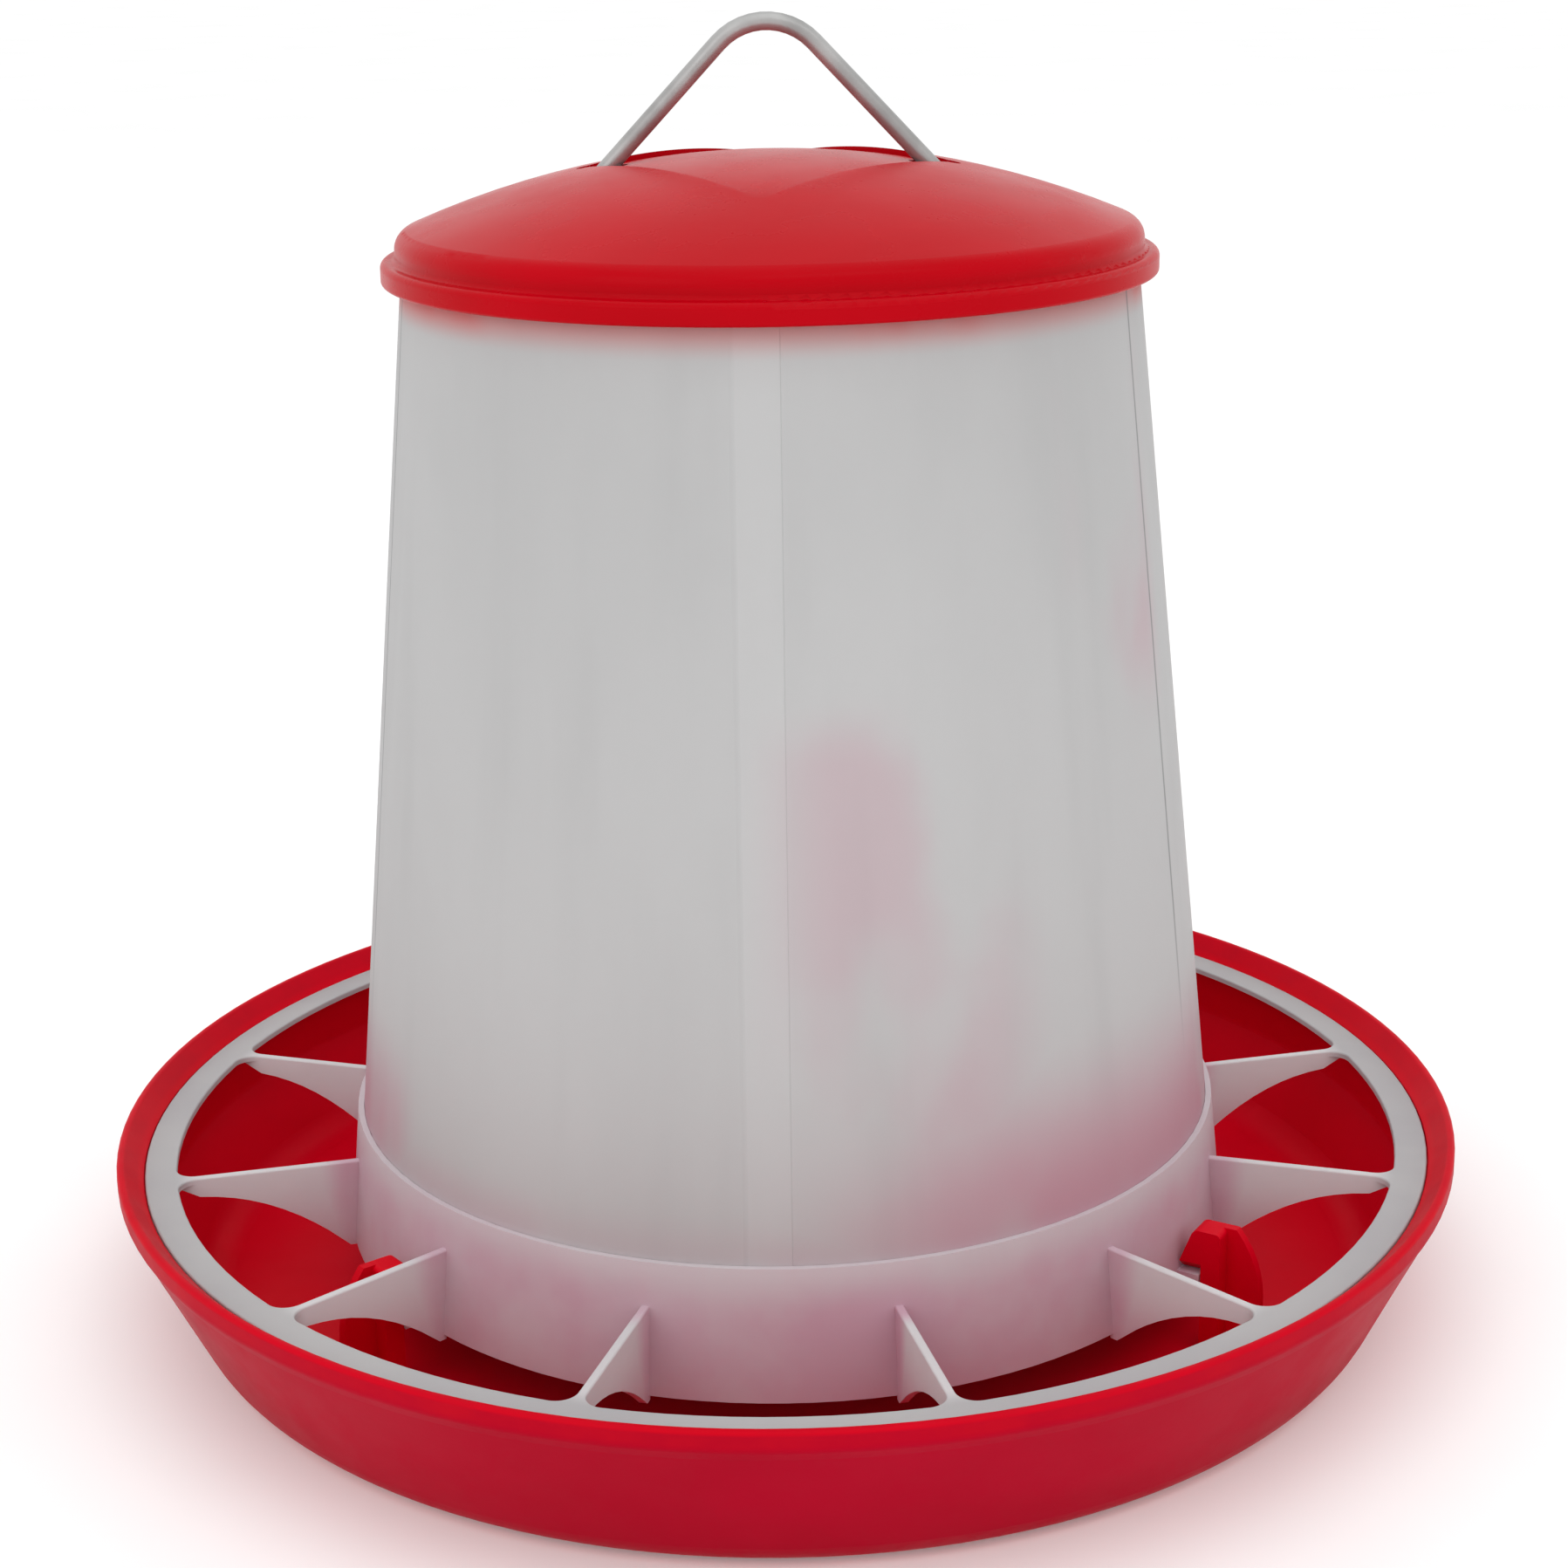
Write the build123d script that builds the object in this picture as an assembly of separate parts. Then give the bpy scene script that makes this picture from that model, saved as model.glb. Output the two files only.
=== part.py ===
"""Hanging poultry feeder: tray, feed grid, hopper, lid and wire hanger.

Millimetres, +Z up, the front towards -Y.  The origin is the middle of the
tray's underside.  Heights that end in _Z are measured from there.
"""

from build123d import *
from math import hypot, radians, sin, tan
import os

# Tray
TRAY_RADIUS = 180.0
TRAY_HEIGHT = 46.0
TRAY_WALL = 2.4
LIP_OVERHANG = 1.7           # lip beyond the wall's top
WALL_LEAN = 17.8             # wall's top beyond its foot
LIP_HEIGHT = 5.0
LIP_UNDERCUT = 2.8           # height of the slope from the lip in to the wall
LIP_WIDTH = 6.7              # its inner face slopes down to the grid's ring
LIP_CREST = 1.9              # width of the lip's level top
BOTTOM_ROUNDING = 12.0
LEDGE_WIDTH = 3.5            # carries the grid's ring
SPREADER_RADIUS = 70.0       # low cone in the middle of the floor
SPREADER_HEIGHT = 24.0

# Feed grid
RING_WIDTH = 8.3
RING_THICKNESS = 1.6
RING_DROP = 4.8              # ring's top below the tray's lip
RING_PLAY = 0.35             # all round, between ring and lip
VANE_COUNT = 12
VANE_THICKNESS = 2.2
VANE_ROOT_ROUNDING = 5.0
VANE_DEPTH = 3.4             # below the ring, where the vane leaves it
ARCH_POWER = 2.2             # how late the vane's lower edge turns down
GRID_EDGE = 0.5              # rounding of the upper edges
COLLAR_WALL = 1.5
COLLAR_RISE = 6.2            # collar's top above the tray's lip
COLLAR_DEPTH = 27.5          # collar's bottom below the tray's lip
COLLAR_LIP = 1.5             # thickness of the lip that carries the hopper
COLLAR_LIP_WIDTH = 2.2

# Catches between tray and grid
CATCH_TURN = 5.2             # degrees between the grid's front and the catches' own front
CATCH_SPREAD = 55.8          # degrees from there to the first two; the third is opposite
CATCH_WIDTH = 7.5
CATCH_TOP_DROP = 10.2        # below the tray's lip
NOSE_BOTTOM_DROP = 22.0
NOSE_FACE = 2.5              # height of the nose's upright tip
NOSE_LEAN = 3.6              # tip to the nose's upper corner
STEM_THICKNESS = 5.1
LEAD_IN = 2.5                # slope under the nose at the end where the lug comes in
WEB_THICKNESS = 2.5          # web that braces the stem on one side
WEB_TOP_REACH = 2.4          # beyond the stem
WEB_FOOT_REACH = 9.2
LUG_WIDTH = 8.5
LUG_REACH = 5.3              # beyond the collar's wall
CATCH_PLAY = 0.3

# Hopper
HOPPER_RIM_RADIUS = 115.0    # outside, level with the tray's lip
HOPPER_TAPER = 0.1           # radius lost per millimetre of height
HOPPER_WALL = 1.2
HOPPER_RISE = 228.5          # top edge above the tray's lip
LAP_WIDTH = 10.0
LAP_THICKNESS = 1.0
SEAT_PLAY = 0.1

# Lid
LID_WALL = 2.2
DOME_RADIUS = 235.0
SKIRT_HEIGHT = 8.2           # where skirt and dome would meet, above the hopper's edge
SKIRT_OVERHANG = 1.35        # skirt beyond the hopper's edge
SHOULDER_ROUNDING = 5.0
FLANGE_PLAY = 2.85           # between flange and hopper
FLANGE_DEPTH = 5.5
RECESS_HALF_LENGTH = 47.0    # along X
RECESS_HALF_WIDTH = 58.0     # along Y
RECESS_DEPTH = 1.4
SLOT_LENGTH = 13.0
SLOT_PLAY = 0.5              # each side of the wire

# Wire hanger
WIRE = 4.5
APEX_RISE = 293.5            # where the two slopes would meet, above the lip
SLOPE_RUN = 0.95             # sideways run of the slopes per millimetre of drop
WIRE_TO_WALL = 0.4
APEX_BEND = 16.3
SHOULDER_BEND = 9.0
FOOT_BEND = 3.5
LEG_PLAY = 2.0               # between a leg and the collar's lip
FOOT_REACH = 1.6             # foot's end inside the collar's outer face

# Levels and radii that follow from the sizes above
LIP_Z = TRAY_HEIGHT
FLOOR_Z = TRAY_WALL
RING_TOP_Z = LIP_Z - RING_DROP
LEDGE_Z = RING_TOP_Z - RING_THICKNESS
RIM_INNER = TRAY_RADIUS - LIP_WIDTH
RING_OUTER = RIM_INNER - RING_PLAY
RING_INNER = RING_OUTER - RING_WIDTH
LIP_BOTTOM_Z = LIP_Z - LIP_HEIGHT
WALL_TOP_RADIUS = TRAY_RADIUS - LIP_OVERHANG
FOOT_RADIUS = WALL_TOP_RADIUS - WALL_LEAN
COLLAR_TOP_Z = LIP_Z + COLLAR_RISE
COLLAR_BOTTOM_Z = LIP_Z - COLLAR_DEPTH
SEAT_Z = COLLAR_BOTTOM_Z + COLLAR_LIP
HOPPER_TOP_Z = LIP_Z + HOPPER_RISE
NOSE_BOTTOM_Z = LIP_Z - NOSE_BOTTOM_DROP


def hopper_radius(z):
    """Outside radius of the hopper's wall at height z."""
    return HOPPER_RIM_RADIUS - HOPPER_TAPER * (z - LIP_Z)


def collar_inner(z):
    return hopper_radius(z) + SEAT_PLAY


def collar_outer(z):
    return collar_inner(z) + COLLAR_WALL


def section(points):
    """Face in the XZ plane through (radius, height) points."""
    return make_face(Plane.XZ * Polyline(*points, close=True))


def corner(face, point):
    """The face's vertex nearest to a (radius, height) point."""
    return face.vertices().sort_by_distance(Vector(point[0], 0, point[1]))[0]


def rounded(face, radii):
    """Round a section's corners: pairs of (radius, height) point and rounding."""
    for point, radius in radii:
        face = fillet(corner(face, point), radius)
    return face


def turned(face):
    return revolve(face, Axis.Z)


def radial(face, width, angle, shift=0.0):
    """A section made into a plate, turned to an angle from the front (+ is towards +X)."""
    plate = extrude(face, width / 2, dir=(0, 1, 0), both=True)
    return Rot(0, 0, angle - 90) * Pos(0, shift, 0) * plate


# Feed tray

def make_tray():
    wall_top_z = LIP_BOTTOM_Z - LIP_UNDERCUT
    slope = WALL_LEAN / wall_top_z
    inset = TRAY_WALL * hypot(1, slope)
    ledge_inner = RIM_INNER - LEDGE_WIDTH
    floor_outer = FOOT_RADIUS + slope * FLOOR_Z - inset
    wall_meets_ledge = (ledge_inner + inset - FOOT_RADIUS) / slope
    spreader_top = FLOOR_Z + SPREADER_HEIGHT
    body = section([
        (0, spreader_top),
        (SPREADER_RADIUS, FLOOR_Z),
        (floor_outer, FLOOR_Z),
        (ledge_inner, wall_meets_ledge),
        (ledge_inner, LEDGE_Z),
        (RIM_INNER, LEDGE_Z),
        (RIM_INNER, RING_TOP_Z - 0.4),
        (TRAY_RADIUS - LIP_CREST, LIP_Z),
        (TRAY_RADIUS, LIP_Z),
        (TRAY_RADIUS, LIP_BOTTOM_Z),
        (WALL_TOP_RADIUS, wall_top_z),
        (FOOT_RADIUS, 0),
        (SPREADER_RADIUS - TRAY_WALL, 0),
        (0, spreader_top - TRAY_WALL * hypot(1, SPREADER_HEIGHT / SPREADER_RADIUS)),
    ])
    body = rounded(body, [
        ((SPREADER_RADIUS, FLOOR_Z), 6.0),
        ((SPREADER_RADIUS - TRAY_WALL, 0), 3.0),
        ((floor_outer, FLOOR_Z), BOTTOM_ROUNDING - TRAY_WALL),
        ((ledge_inner, wall_meets_ledge), 3.0),
        ((TRAY_RADIUS - LIP_CREST, LIP_Z), 1.0),
        ((TRAY_RADIUS, LIP_Z), 1.2),
        ((TRAY_RADIUS, LIP_BOTTOM_Z), 2.5),
        ((WALL_TOP_RADIUS, wall_top_z), 2.5),
        ((FOOT_RADIUS, 0), BOTTOM_ROUNDING),
    ])
    tray = turned(body)
    for angle, side in catch_places():
        tray += make_catch(angle, side)
    return tray


def catch_places():
    """Angle of each catch from the grid's front, and the side that its web is on."""
    return [
        (CATCH_TURN + CATCH_SPREAD, 1),
        (CATCH_TURN - CATCH_SPREAD, -1),
        (CATCH_TURN + 180.0, 1),
    ]


def make_catch(angle, side):
    """Upright stem on the floor with a nose that reaches in over the grid's lug."""
    top = LIP_Z - CATCH_TOP_DROP
    stem_inner = collar_outer(COLLAR_BOTTOM_Z) + LUG_REACH + CATCH_PLAY
    stem_outer = stem_inner + STEM_THICKNESS
    tip = collar_outer(NOSE_BOTTOM_Z) + CATCH_PLAY
    face = section([
        (stem_inner, FLOOR_Z - 1),
        (stem_inner, NOSE_BOTTOM_Z),
        (tip, NOSE_BOTTOM_Z),
        (tip, NOSE_BOTTOM_Z + NOSE_FACE),
        (tip + NOSE_LEAN, top),
        (stem_outer, top),
        (stem_outer, FLOOR_Z - 1),
    ])
    face = rounded(face, [
        ((tip + NOSE_LEAN, top), 2.0),
        ((tip, NOSE_BOTTOM_Z + NOSE_FACE), 3.0),
        ((stem_outer, top), 1.5),
    ])
    stem = radial(face, CATCH_WIDTH, angle)
    near = -side * CATCH_WIDTH / 2
    slope = Polyline(
        (near, NOSE_BOTTOM_Z - 0.1),
        (near, NOSE_BOTTOM_Z + LEAD_IN),
        (near + side * LEAD_IN * 1.2, NOSE_BOTTOM_Z - 0.1),
        close=True)
    wedge = extrude(make_face(Plane.YZ * slope), stem_inner - tip + 1, dir=(1, 0, 0))
    stem -= Rot(0, 0, angle - 90) * Pos(tip - 1, 0, 0) * wedge
    return stem + make_web(angle, side, stem_inner, stem_outer, top)


def make_web(angle, side, inner, outer, top):
    """Thin brace behind a stem, its outer edge curving down to the floor."""
    start = (outer + WEB_TOP_REACH, top)
    end = (outer + WEB_FOOT_REACH, top - 2 * WEB_FOOT_REACH)
    middle = ((start[0] + 2 * end[0]) / 3, (3 * start[1] + 2 * end[1]) / 5)
    outline = Polyline((outer + WEB_FOOT_REACH, FLOOR_Z - 1), (inner, FLOOR_Z - 1),
                       (inner, top - 1), (outer - 2, top), start)
    outline += ThreePointArc(start, middle, end)
    outline += Line(end, (outer + WEB_FOOT_REACH, FLOOR_Z - 1))
    face = make_face(Plane.XZ * outline)
    return radial(face, WEB_THICKNESS, angle, side * (CATCH_WIDTH - WEB_THICKNESS) / 2)


# Feed grid

def make_grid():
    grid = make_lattice()
    grid += turned(section([
        (collar_inner(COLLAR_TOP_Z), COLLAR_TOP_Z),
        (collar_outer(COLLAR_TOP_Z), COLLAR_TOP_Z),
        (collar_outer(COLLAR_BOTTOM_Z), COLLAR_BOTTOM_Z),
        (hopper_radius(SEAT_Z) - COLLAR_LIP_WIDTH, COLLAR_BOTTOM_Z),
        (hopper_radius(SEAT_Z) - COLLAR_LIP_WIDTH, SEAT_Z),
        (collar_inner(SEAT_Z), SEAT_Z),
    ]))
    for number in range(VANE_COUNT):
        grid += radial(vane_section(), VANE_THICKNESS, vane_angle(number))
    for angle, _ in catch_places():
        grid += radial(lug_section(), LUG_WIDTH, angle)
    return grid


def vane_angle(number):
    return (number + 0.5) * 360.0 / VANE_COUNT


def make_lattice():
    """Ring and the vanes' upper edges in one plate, its corners and upper edges rounded."""
    reach = collar_outer(RING_TOP_Z) - COLLAR_WALL / 2
    length = RING_INNER + 2 - reach
    plan = Circle(RING_OUTER) - Circle(RING_INNER)
    for number in range(VANE_COUNT):
        bar = Pos(reach + length / 2, 0) * Rectangle(length, VANE_THICKNESS)
        plan += Rot(0, 0, vane_angle(number)) * bar
    roots = [
        vertex for vertex in plan.vertices()
        if abs(hypot(vertex.X, vertex.Y) - RING_INNER) < 0.05
    ]
    plan = fillet(roots, VANE_ROOT_ROUNDING)
    plate = Pos(0, 0, LEDGE_Z) * extrude(plan, RING_THICKNESS)
    upper = plate.faces().sort_by(Axis.Z)[-1].edges()
    return fillet([edge for edge in upper if edge.length > 2 * VANE_THICKNESS], GRID_EDGE)


def vane_section():
    """Vane from the collar out to the ring, its lower edge arched."""
    top = RING_TOP_Z - GRID_EDGE - 0.2
    foot = COLLAR_BOTTOM_Z - 1.4
    heel = collar_outer(foot) + 1.2
    leaves = LEDGE_Z - VANE_DEPTH
    span = RING_INNER - heel
    arch = []
    for step in range(1, 8):
        share = step / 8
        arch.append((RING_INNER - span * share, leaves - (leaves - foot) * share ** ARCH_POWER))
    outline = Polyline((heel, foot), (collar_outer(foot) - 0.9, foot),
                       (collar_outer(top) - 0.7, top), (RING_INNER + 1, top),
                       (RING_INNER + 1, LEDGE_Z), arch[0])
    outline += Spline(*arch)
    outline += Line(arch[-1], (heel, foot))
    return make_face(Plane.XZ * outline)


def lug_section():
    top = NOSE_BOTTOM_Z - CATCH_PLAY
    reach = collar_outer(COLLAR_BOTTOM_Z) + LUG_REACH
    return section([
        (collar_outer(COLLAR_BOTTOM_Z) - 0.8, COLLAR_BOTTOM_Z),
        (reach, COLLAR_BOTTOM_Z),
        (reach, top),
        (collar_outer(top) - 0.8, top),
    ])


# Hopper

def make_hopper():
    low = SEAT_Z
    high = HOPPER_TOP_Z
    wall = turned(section([
        (hopper_radius(low) - HOPPER_WALL, low),
        (hopper_radius(low), low),
        (hopper_radius(high), high),
        (hopper_radius(high) - HOPPER_WALL, high),
    ]))
    lap = turned(section([
        (hopper_radius(low) - HOPPER_WALL - LAP_THICKNESS, low),
        (hopper_radius(low) - HOPPER_WALL / 2, low),
        (hopper_radius(high) - HOPPER_WALL / 2, high),
        (hopper_radius(high) - HOPPER_WALL - LAP_THICKNESS, high),
    ]))
    depth = HOPPER_RIM_RADIUS
    tall = high - low + 20
    band = Pos(0, -depth, (low + high) / 2) * Box(LAP_WIDTH, depth, tall)
    return wall + (lap & band)


# Lid

SKIRT_RADIUS = hopper_radius(HOPPER_TOP_Z) + SKIRT_OVERHANG
FLANGE_RADIUS = hopper_radius(HOPPER_TOP_Z) + FLANGE_PLAY + LID_WALL
DOME_CENTRE_Z = HOPPER_TOP_Z + SKIRT_HEIGHT - (DOME_RADIUS ** 2 - SKIRT_RADIUS ** 2) ** 0.5
DOME_TOP_Z = DOME_CENTRE_Z + DOME_RADIUS
FLANGE_TOP_Z = HOPPER_TOP_Z + LID_WALL


def dome_body(radius, dome, rounding):
    """Solid from the hopper's edge up to a dome, its shoulder rounded."""
    def dome_z(r):
        return DOME_CENTRE_Z + (dome ** 2 - r ** 2) ** 0.5
    shoulder = (radius, dome_z(radius))
    outline = Polyline((0, dome_z(0)), (0, HOPPER_TOP_Z), (radius, HOPPER_TOP_Z), shoulder)
    outline += ThreePointArc(shoulder, (radius / 2, dome_z(radius / 2)), (0, dome_z(0)))
    face = make_face(Plane.XZ * outline)
    return turned(rounded(face, [(shoulder, rounding)]))


def make_lid():
    lid = dome_body(SKIRT_RADIUS, DOME_RADIUS, SHOULDER_ROUNDING)
    flange = section([
        (SKIRT_RADIUS - LID_WALL, HOPPER_TOP_Z),
        (FLANGE_RADIUS - LID_WALL, HOPPER_TOP_Z),
        (FLANGE_RADIUS - LID_WALL, FLANGE_TOP_Z - FLANGE_DEPTH),
        (FLANGE_RADIUS, FLANGE_TOP_Z - FLANGE_DEPTH),
        (FLANGE_RADIUS, FLANGE_TOP_Z),
        (SKIRT_RADIUS, FLANGE_TOP_Z),
        (SKIRT_RADIUS, FLANGE_TOP_Z + 2),
        (SKIRT_RADIUS - LID_WALL, FLANGE_TOP_Z + 2),
    ])
    flange = rounded(flange, [
        ((FLANGE_RADIUS, FLANGE_TOP_Z), 1.6),
        ((FLANGE_RADIUS, FLANGE_TOP_Z - FLANGE_DEPTH), 0.9),
        ((SKIRT_RADIUS, FLANGE_TOP_Z), 1.2),
    ])
    lid += turned(flange)
    lid -= dome_body(
        SKIRT_RADIUS - LID_WALL, DOME_RADIUS - LID_WALL, SHOULDER_ROUNDING - LID_WALL)
    recess = lozenge(0)
    floor_top = Pos(0, 0, DOME_CENTRE_Z) * Sphere(DOME_RADIUS - RECESS_DEPTH)
    floor_bottom = Pos(0, 0, DOME_CENTRE_Z) * Sphere(DOME_RADIUS - RECESS_DEPTH - LID_WALL)
    lid -= recess - floor_top
    lid += (lozenge(LID_WALL) & floor_top) - floor_bottom
    for side in (-1, 1):
        lid -= make_slot(side)
    return lid


def lozenge(margin):
    """Upright prism with the plan of the recess in the lid's top."""
    length = RECESS_HALF_LENGTH + margin * 1.4
    width = RECESS_HALF_WIDTH + margin * 1.4
    plan = Polyline((length, 0), (0, width), (-length, 0), (0, -width), close=True)
    face = fillet(make_face(plan).vertices(), 3.0)
    return Pos(0, 0, DOME_TOP_Z - 20) * extrude(face, 40)


def make_slot(side):
    middle = DOME_RADIUS - RECESS_DEPTH - LID_WALL / 2
    centre_x = 40.0
    for _ in range(6):
        centre_z = DOME_CENTRE_Z + (middle ** 2 - centre_x ** 2) ** 0.5
        centre_x = SLOPE_RUN * (LIP_Z + APEX_RISE - centre_z)
    plan = SlotOverall(SLOT_LENGTH, WIRE + 2 * SLOT_PLAY)
    return Pos(side * centre_x, 0, DOME_TOP_Z - 20) * extrude(plan, 40)


# Wire hanger

def make_hanger():
    """One wire: a peak, two slopes down through the lid, legs inside the hopper, two feet."""
    radius = WIRE / 2
    foot_z = COLLAR_BOTTOM_Z - radius - 0.05
    peak = (0.0, LIP_Z + APEX_RISE)
    line_base = hopper_radius(0) - HOPPER_WALL - WIRE_TO_WALL - radius
    bend_z = (line_base - SLOPE_RUN * peak[1]) / (HOPPER_TAPER - SLOPE_RUN)
    bend_x = line_base - HOPPER_TAPER * bend_z
    leg_x = hopper_radius(SEAT_Z) - COLLAR_LIP_WIDTH - radius - LEG_PLAY
    toe_x = collar_outer(COLLAR_BOTTOM_Z) - FOOT_REACH
    right = [(toe_x, foot_z), (leg_x, foot_z), (bend_x, bend_z)]
    left = [(-x, z) for x, z in reversed(right)]
    path = bent_path(right + [peak] + left,
                     [FOOT_BEND, SHOULDER_BEND, APEX_BEND, SHOULDER_BEND, FOOT_BEND])
    start = Plane(origin=(toe_x, 0, foot_z), z_dir=(-1, 0, 0))
    return sweep(start * Circle(radius), path=path)


def bent_path(points, bends):
    """Line through points in the XZ plane, with a bend of the given radius at each corner."""
    edges = []
    last = Vector(points[0][0], 0, points[0][1])
    for index, bend in enumerate(bends, start=1):
        before = Vector(points[index - 1][0], 0, points[index - 1][1])
        here = Vector(points[index][0], 0, points[index][1])
        after = Vector(points[index + 1][0], 0, points[index + 1][1])
        back = (before - here).normalized()
        ahead = (after - here).normalized()
        half = radians(back.get_angle(ahead)) / 2
        start = here + back * (bend / tan(half))
        end = here + ahead * (bend / tan(half))
        inward = (back + ahead).normalized()
        middle = here + inward * (bend / sin(half) - bend)
        edges.append(Line(last, start))
        edges.append(ThreePointArc(start, middle, end))
        last = end
    edges.append(Line(last, Vector(points[-1][0], 0, points[-1][1])))
    return Wire(edges)


os.makedirs("parts", exist_ok=True)
pieces = {
    "feed_tray": make_tray(),
    "feed_grid": make_grid(),
    "hopper": make_hopper(),
    "lid": make_lid(),
    "bail_handle": make_hanger(),
}
for name, shape in pieces.items():
    export_step(shape, "parts/" + name + ".step")
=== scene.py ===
import math

import bpy
from mathutils import Matrix, Vector

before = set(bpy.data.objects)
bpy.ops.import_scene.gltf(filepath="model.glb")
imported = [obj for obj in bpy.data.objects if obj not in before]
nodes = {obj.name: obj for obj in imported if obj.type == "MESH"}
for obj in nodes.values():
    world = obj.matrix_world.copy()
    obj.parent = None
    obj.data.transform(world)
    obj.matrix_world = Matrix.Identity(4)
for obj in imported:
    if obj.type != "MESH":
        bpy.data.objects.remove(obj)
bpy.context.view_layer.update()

# Levels and radii of the object, in metres, that the materials refer to
TRAY_HEIGHT = 0.046
LIP_INNER = 0.1733
WALL_SLOPE = 0.466
FOOT_RADIUS = 0.1605
RING_INNER = 0.1647
COLLAR_OUTER = 0.1203
COLLAR_TOP = 0.0522
HOPPER_TOP = 0.2745
LAP_HALF_WIDTH = 0.005


# Camera: the photograph's frame, fitted on the tray's lip and the lid

def make_camera():
    data = bpy.data.cameras.new("camera")
    data.sensor_width = 36.0
    data.sensor_fit = "HORIZONTAL"
    data.lens = 65.5
    data.clip_start = 0.05
    data.clip_end = 20.0
    camera = bpy.data.objects.new("camera", data)
    bpy.context.collection.objects.link(camera)
    orbit = Matrix.Rotation(math.radians(2.0), 4, "Z")
    place = Matrix.Translation((0.0, -0.7239, TRAY_HEIGHT + 0.3174))
    aim = Matrix.Rotation(math.radians(-0.1), 4, "Z")
    tilt = Matrix.Rotation(math.radians(90.0 - 17.455), 4, "X")
    roll = Matrix.Rotation(math.radians(-1.0), 4, "Z")
    camera.matrix_world = orbit @ place @ aim @ tilt @ roll
    bpy.context.scene.camera = camera


# Shader helpers

class Shader:
    """A material being built: nodes are made and linked through short calls."""

    def __init__(self, name):
        self.material = bpy.data.materials.new(name)
        self.material.use_nodes = True
        self.tree = self.material.node_tree
        self.main = self.tree.nodes["Principled BSDF"]
        self.out = self.tree.nodes["Material Output"]
        self.coords = self.tree.nodes.new("ShaderNodeTexCoord").outputs["Object"]
        self.split = self.tree.nodes.new("ShaderNodeSeparateXYZ")
        self.link(self.coords, self.split.inputs[0])

    def link(self, source, target):
        self.tree.links.new(source, target)

    def put(self, value, socket):
        if isinstance(value, bpy.types.NodeSocket):
            self.link(value, socket)
        else:
            socket.default_value = value

    def math(self, operation, a, b=0.0, c=0.0):
        node = self.tree.nodes.new("ShaderNodeMath")
        node.operation = operation
        for value, socket in zip((a, b, c), node.inputs):
            self.put(value, socket)
        return node.outputs[0]

    def times(self, first, *others):
        for other in others:
            first = self.math("MULTIPLY", first, other)
        return first

    def most(self, first, *others):
        for other in others:
            first = self.math("MAXIMUM", first, other)
        return first

    def axis(self, letter):
        return self.split.outputs[letter]

    def radius(self):
        """Distance from the object's upright axis."""
        square = self.math("ADD", self.times(self.axis("X"), self.axis("X")),
                           self.times(self.axis("Y"), self.axis("Y")))
        return self.math("SQRT", square)

    def turn(self):
        """Degrees round the object's axis from the front, + towards +X."""
        back = self.math("MULTIPLY", self.axis("Y"), -1.0)
        return self.math("MULTIPLY", self.math("ARCTAN2", self.axis("X"), back), 57.2958)

    def span(self, value, low, high, start=0.0, end=1.0):
        """Smooth step of a value between two limits."""
        node = self.tree.nodes.new("ShaderNodeMapRange")
        node.interpolation_type = "SMOOTHSTEP"
        for item, socket in zip((value, low, high, start, end), node.inputs):
            self.put(item, socket)
        return node.outputs[0]

    def band(self, value, low, high, soft_low, soft_high):
        """1 between two limits, fading out over a soft distance outside each."""
        return self.times(self.span(value, low - soft_low, low),
                          self.span(value, high, high + soft_high, 1.0, 0.0))

    def noise(self, scale, detail=3.0, roughness=0.5, stretch=(1.0, 1.0, 1.0), distortion=0.0):
        mapping = self.tree.nodes.new("ShaderNodeMapping")
        self.link(self.coords, mapping.inputs["Vector"])
        mapping.inputs["Scale"].default_value = stretch
        node = self.tree.nodes.new("ShaderNodeTexNoise")
        self.link(mapping.outputs[0], node.inputs["Vector"])
        node.inputs["Scale"].default_value = scale
        node.inputs["Detail"].default_value = detail
        node.inputs["Roughness"].default_value = roughness
        node.inputs["Distortion"].default_value = distortion
        return node.outputs["Fac"]

    def blend(self, factor, first, second):
        node = self.tree.nodes.new("ShaderNodeMix")
        node.data_type = "RGBA"
        self.put(factor, node.inputs["Factor"])
        for value, name in ((first, "A"), (second, "B")):
            socket = [item for item in node.inputs if item.name == name and item.type == "RGBA"][0]
            self.put(value, socket)
        return [item for item in node.outputs if item.type == "RGBA"][0]

    def bump(self, height, strength, distance, normal=None):
        node = self.tree.nodes.new("ShaderNodeBump")
        node.inputs["Strength"].default_value = strength
        node.inputs["Distance"].default_value = distance
        self.put(height, node.inputs["Height"])
        if normal is not None:
            self.link(normal, node.inputs["Normal"])
        return node.outputs[0]

    def finish(self, colour, rough_low, rough_high, specular, normal):
        """Colour, roughness that varies with a handling haze, gloss and bump."""
        self.put(colour, self.main.inputs["Base Color"])
        haze = self.span(self.noise(38.0, 5.0, 0.6), 0.3, 0.75, rough_low, rough_high)
        self.put(haze, self.main.inputs["Roughness"])
        self.main.inputs["Specular IOR Level"].default_value = specular
        self.put(normal, self.main.inputs["Normal"])
        return self.material

    def let_light_through(self, share, colour, normal):
        """Mix the main shader with light that comes through from the other side."""
        through = self.tree.nodes.new("ShaderNodeBsdfTranslucent")
        self.put(colour, through.inputs["Color"])
        self.link(normal, through.inputs["Normal"])
        mix = self.tree.nodes.new("ShaderNodeMixShader")
        self.put(share, mix.inputs[0])
        self.link(self.main.outputs[0], mix.inputs[1])
        self.link(through.outputs[0], mix.inputs[2])
        self.link(mix.outputs[0], self.out.inputs["Surface"])


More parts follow.
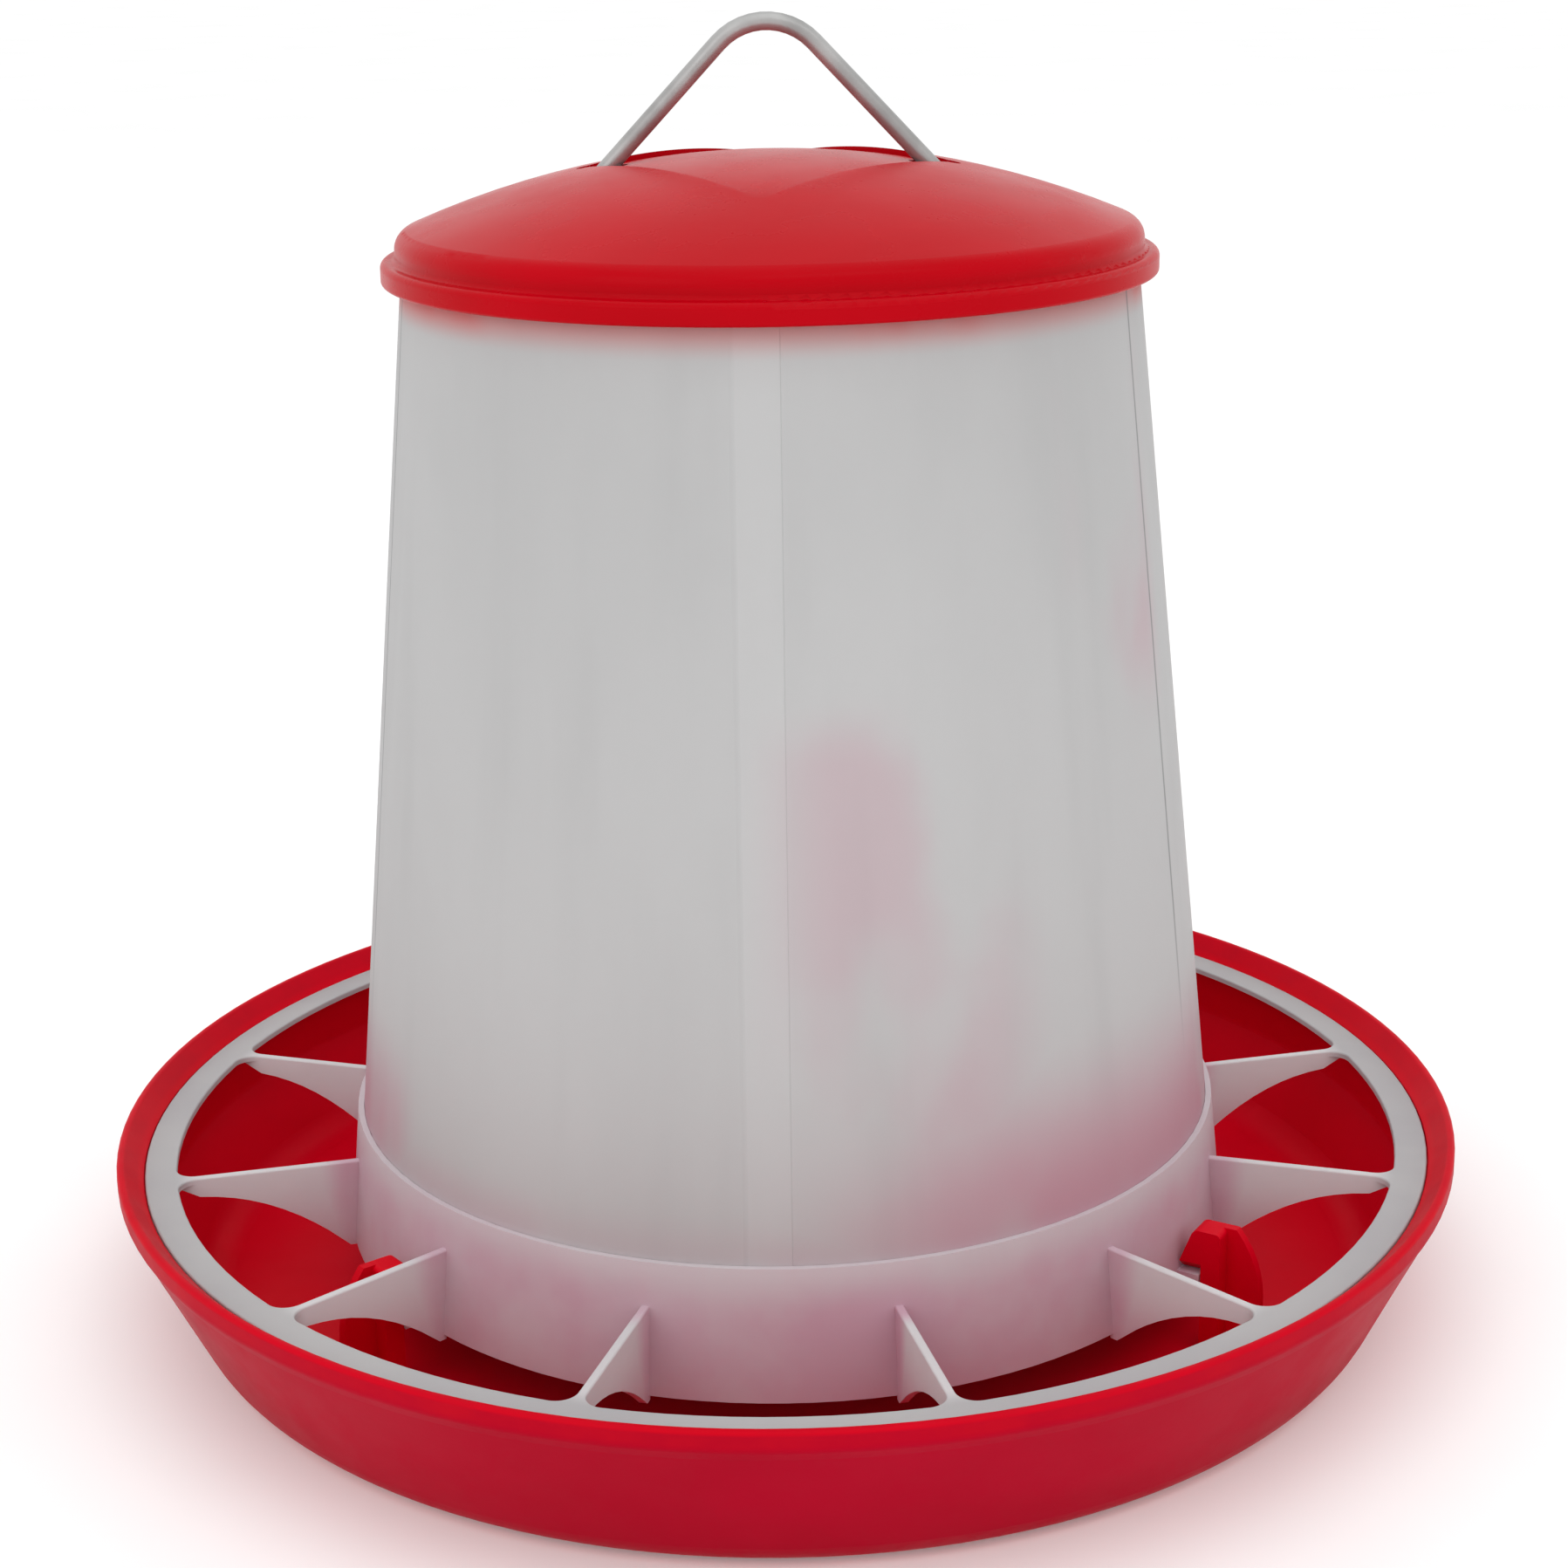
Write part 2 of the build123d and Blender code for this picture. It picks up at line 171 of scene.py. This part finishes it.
def rgb(red, green, blue):
    """sRGB from 0 to 255, as linear colour."""
    def channel(value):
        value /= 255.0
        return value / 12.92 if value <= 0.04045 else ((value + 0.055) / 1.055) ** 2.4
    return (channel(red), channel(green), channel(blue), 1.0)


# Materials

def tray_plastic():
    """Red moulding with flow marks; painted light: a lighter red on the tray's interior, and a painted
    highlight along the rim's top edge, broken up by noise.
    """
    s = Shader("tray_plastic")
    flow = s.span(s.noise(9.0, 4.0, 0.55, (1.0, 1.0, 2.2), 0.6), 0.3, 0.7)
    # Painted light: the tray's interior is a lighter copy of the same red, standing in for light that
    # shines through the wall.
    outside = s.blend(flow, rgb(166, 0, 32), rgb(174, 0, 36))
    lit_inside = s.blend(flow, rgb(206, 0, 24), rgb(214, 0, 30))
    wall = s.math("SUBTRACT", s.radius(), s.math("MULTIPLY", s.axis("Z"), WALL_SLOPE))
    within = s.times(s.span(wall, FOOT_RADIUS - 0.0019, FOOT_RADIUS - 0.0013, 1.0, 0.0),
                     s.span(s.axis("Z"), 0.0009, 0.0015))
    colour = s.blend(within, outside, lit_inside)
    # Painted highlight: a lighter, more orange red along the rim's top edge, broken up by noise.
    lip = s.times(s.span(s.axis("Z"), TRAY_HEIGHT - 0.006, TRAY_HEIGHT - 0.003),
                  s.span(s.radius(), LIP_INNER, LIP_INNER + 0.002))
    highlight_breakup = s.span(s.noise(55.0, 4.0, 0.6), 0.35, 0.7, 0.45, 0.9)
    colour = s.blend(s.times(lip, highlight_breakup), colour, rgb(190, 6, 30))
    peel = s.bump(s.noise(900.0, 2.0), 0.05, 0.0003)
    normal = s.bump(s.noise(60.0, 3.0), 0.08, 0.0008, peel)
    return s.finish(colour, 0.38, 0.5, 0.035, normal)


def lid_plastic():
    """Glossier red moulding: faint sink marks and flow lines."""
    s = Shader("lid_plastic")
    flow = s.span(s.noise(12.0, 4.0, 0.55, (1.0, 1.0, 1.6), 0.6), 0.3, 0.7)
    colour = s.blend(flow, rgb(176, 0, 14), rgb(184, 0, 18))
    peel = s.bump(s.noise(900.0, 2.0), 0.04, 0.0003)
    normal = s.bump(s.noise(26.0, 2.0), 0.12, 0.001, peel)
    return s.finish(colour, 0.24, 0.32, 0.05, normal)


def grid_plastic():
    """Milky white moulding; painted light: the vanes lighter than the ring, and a painted pink glow of
    red light from the tray on the collar and the vanes' feet.
    """
    s = Shader("grid_plastic")
    flow = s.span(s.noise(14.0, 4.0, 0.6, (1.0, 1.0, 2.0), 0.4), 0.3, 0.7)
    # Painted light: ring and vanes are lit and shaded copies of one white; the vanes are painted
    # lighter to make up for the shade between them.
    ring = s.blend(flow, rgb(192, 191, 193), rgb(200, 200, 200))
    vanes = s.blend(flow, rgb(222, 219, 221), rgb(228, 227, 228))
    colour = s.blend(s.span(s.radius(), RING_INNER - 0.006, RING_INNER + 0.001), vanes, ring)
    # Painted glow: pink on the collar and the vanes' feet, standing in for red light from the tray
    # shining through the white plastic.
    collar = s.times(s.span(s.radius(), COLLAR_OUTER, COLLAR_OUTER + 0.008, 1.0, 0.0),
                     s.span(s.axis("Z"), 0.040, COLLAR_TOP, 1.0, 0.35))
    foot_red_glow = s.span(s.axis("Z"), 0.016, 0.038, 0.75, 0.0)
    cloud = s.span(s.noise(24.0, 4.0, 0.6), 0.3, 0.7, 0.55, 1.0)
    colour = s.blend(s.times(s.most(collar, foot_red_glow), cloud), colour, rgb(218, 180, 196))
    grain = s.bump(s.noise(1100.0, 2.0), 0.05, 0.0003)
    normal = s.bump(s.noise(70.0, 3.0), 0.08, 0.0008, grain)
    s.let_light_through(0.25, colour, normal)
    return s.finish(colour, 0.34, 0.48, 0.08, normal)


def hopper_sheet():
    """Milky sheet with cloudy streaks and a lapped seam; painted light: lighter at mid-height, a
    painted pink glow of red light near its ends, and thin painted shadow lines where the bail wire
    shows through.
    """
    s = Shader("hopper_sheet")
    height = s.axis("Z")
    turn = s.turn()
    cloud = s.span(s.noise(11.0, 4.0, 0.55, (1.0, 1.0, 0.5), 0.5), 0.3, 0.7)
    colour = s.blend(cloud, rgb(208, 208, 208), rgb(215, 215, 215))
    # Painted light: lighter at mid-height, so darker towards the lid and the tray where shade falls.
    lit_middle = s.band(height, 0.09, 0.16, 0.08, 0.13)
    colour = s.blend(s.times(lit_middle, 0.4), colour, rgb(222, 222, 222))
    streak = s.span(s.noise(46.0, 3.0, 0.5, (1.0, 1.0, 0.06)), 0.45, 0.75, 0.0, 0.35)
    colour = s.blend(streak, colour, rgb(202, 202, 202))

    front = s.span(s.axis("Y"), -0.02, -0.01, 1.0, 0.0)
    lap = s.times(front, s.band(s.axis("X"), -LAP_HALF_WIDTH, LAP_HALF_WIDTH, 0.0016, 0.0003))
    colour = s.blend(s.times(lap, 0.3), colour, rgb(228, 228, 228))

    # Painted glow: pink patches near the sheet's lower end and on its right side, standing in for red
    # light from the tray shining through.
    patch = s.span(s.noise(17.0, 3.0, 0.5, (1.0, 1.0, 0.6)), 0.42, 0.62)
    right_low = s.times(s.band(turn, 35.0, 90.0, 40.0, 20.0), s.band(height, 0.03, 0.055, 0.01, 0.045))
    left_low = s.times(s.band(turn, -90.0, -66.0, 20.0, 14.0), s.band(height, 0.03, 0.06, 0.01, 0.03))
    right_high = s.times(s.band(turn, 55.0, 66.0, 12.0, 8.0), s.band(height, 0.19, 0.25, 0.03, 0.02))
    right_middle = s.times(s.band(turn, 10.0, 26.0, 14.0, 14.0), s.band(height, 0.08, 0.17, 0.03, 0.02))
    seat = s.span(height, 0.05, 0.066, 0.4, 0.0)
    faint = s.times(s.most(right_middle, right_high), patch, 0.3)
    strong_red_glow = s.times(s.most(right_low, left_low, seat), s.span(patch, 0.0, 1.0, 0.45, 0.8))
    colour = s.blend(s.most(faint, strong_red_glow), colour, rgb(218, 160, 178))
    # Painted glow: a red-pink band just under the lid's flange, standing in for red light from the lid.
    glow = s.times(s.span(height, HOPPER_TOP - 0.012, HOPPER_TOP - 0.003),
                   s.span(patch, 0.0, 1.0, 0.6, 0.95))
    colour = s.blend(glow, colour, rgb(232, 110, 108))

    # Painted shadow: thin dark lines, at -74° and +69° round the sheet, standing in for the bail wire
    # seen through it.
    leg_shadow_left = s.band(turn, -74.3, -74.0, 0.35, 0.35)
    leg_shadow_right = s.band(turn, 69.0, 69.3, 0.35, 0.35)
    leg_shadow_lines = s.times(s.most(leg_shadow_left, leg_shadow_right), s.span(height, 0.07, 0.12))
    colour = s.blend(s.times(leg_shadow_lines, 0.55), colour, rgb(112, 112, 114))

    grain = s.bump(s.noise(800.0, 2.0), 0.04, 0.0003)
    wave = s.bump(s.noise(7.0, 2.0, 0.4, (1.0, 1.0, 0.35)), 0.2, 0.004, grain)
    normal = s.bump(lap, 0.4, 0.001, wave)
    s.let_light_through(0.35, colour, normal)
    return s.finish(colour, 0.4, 0.54, 0.12, normal)


def zinc_wire():
    """Drawn steel wire, dull zinc: die lines along it and small dull patches."""
    s = Shader("zinc_wire")
    draw = s.noise(240.0, 3.0, 0.5, (1.0, 1.0, 0.08))
    dull = s.span(s.noise(60.0, 4.0), 0.35, 0.7)
    s.main.inputs["Metallic"].default_value = 0.55
    colour = s.blend(dull, rgb(178, 178, 177), rgb(152, 152, 151))
    return s.finish(colour, 0.32, 0.44, 0.5, s.bump(draw, 0.08, 0.0003))


def floor_material():
    """Pale light-table: evenly lit, so the object stands on near white."""
    s = Shader("floor")
    colour = s.blend(s.span(s.noise(6.0, 3.0), 0.3, 0.7), rgb(240, 240, 240), rgb(244, 244, 244))
    s.put(colour, s.main.inputs["Base Color"])
    s.main.inputs["Roughness"].default_value = 0.9
    s.main.inputs["Specular IOR Level"].default_value = 0.0
    s.main.inputs["Emission Color"].default_value = (1.0, 1.0, 1.0, 1.0)
    s.main.inputs["Emission Strength"].default_value = 0.12
    return s.material


def paint(name, material):
    node = nodes[name]
    node.data.materials.clear()
    node.data.materials.append(material)


# Studio

def make_world():
    """Even white all round, as in a light tent."""
    world = bpy.data.worlds.new("studio")
    world.use_nodes = True
    back = world.node_tree.nodes["Background"]
    back.inputs["Color"].default_value = (1.0, 1.0, 1.0, 1.0)
    back.inputs["Strength"].default_value = 1.0
    bpy.context.scene.world = world


def make_light(name, place, width, depth, power):
    data = bpy.data.lights.new(name, "AREA")
    data.shape = "RECTANGLE"
    data.size = width
    data.size_y = depth
    data.energy = power
    light = bpy.data.objects.new(name, data)
    bpy.context.collection.objects.link(light)
    light.location = place
    aim = Vector((0.0, 0.0, 0.15)) - Vector(place)
    light.rotation_euler = aim.to_track_quat("-Z", "Y").to_euler()


def make_studio():
    bpy.ops.mesh.primitive_plane_add(size=30.0, location=(0.0, 0.0, -0.0002))
    floor = bpy.context.object
    floor.name = "studio_floor"
    floor.data.materials.append(floor_material())
    make_world()
    make_light("overhead", (0.0, -0.3, 1.8), 1.6, 1.6, 4.0)
    make_light("key", (-1.2, -1.6, 1.2), 1.2, 1.2, 3.0)
    make_light("strip", (0.5, -1.0, 1.5), 1.6, 0.25, 1.5)


make_camera()
make_studio()
paint("feed_tray", tray_plastic())
paint("lid", lid_plastic())
paint("feed_grid", grid_plastic())
paint("hopper", hopper_sheet())
paint("bail_handle", zinc_wire())

bpy.context.scene.view_settings.view_transform = "Standard"
bpy.context.scene.view_settings.look = "None"
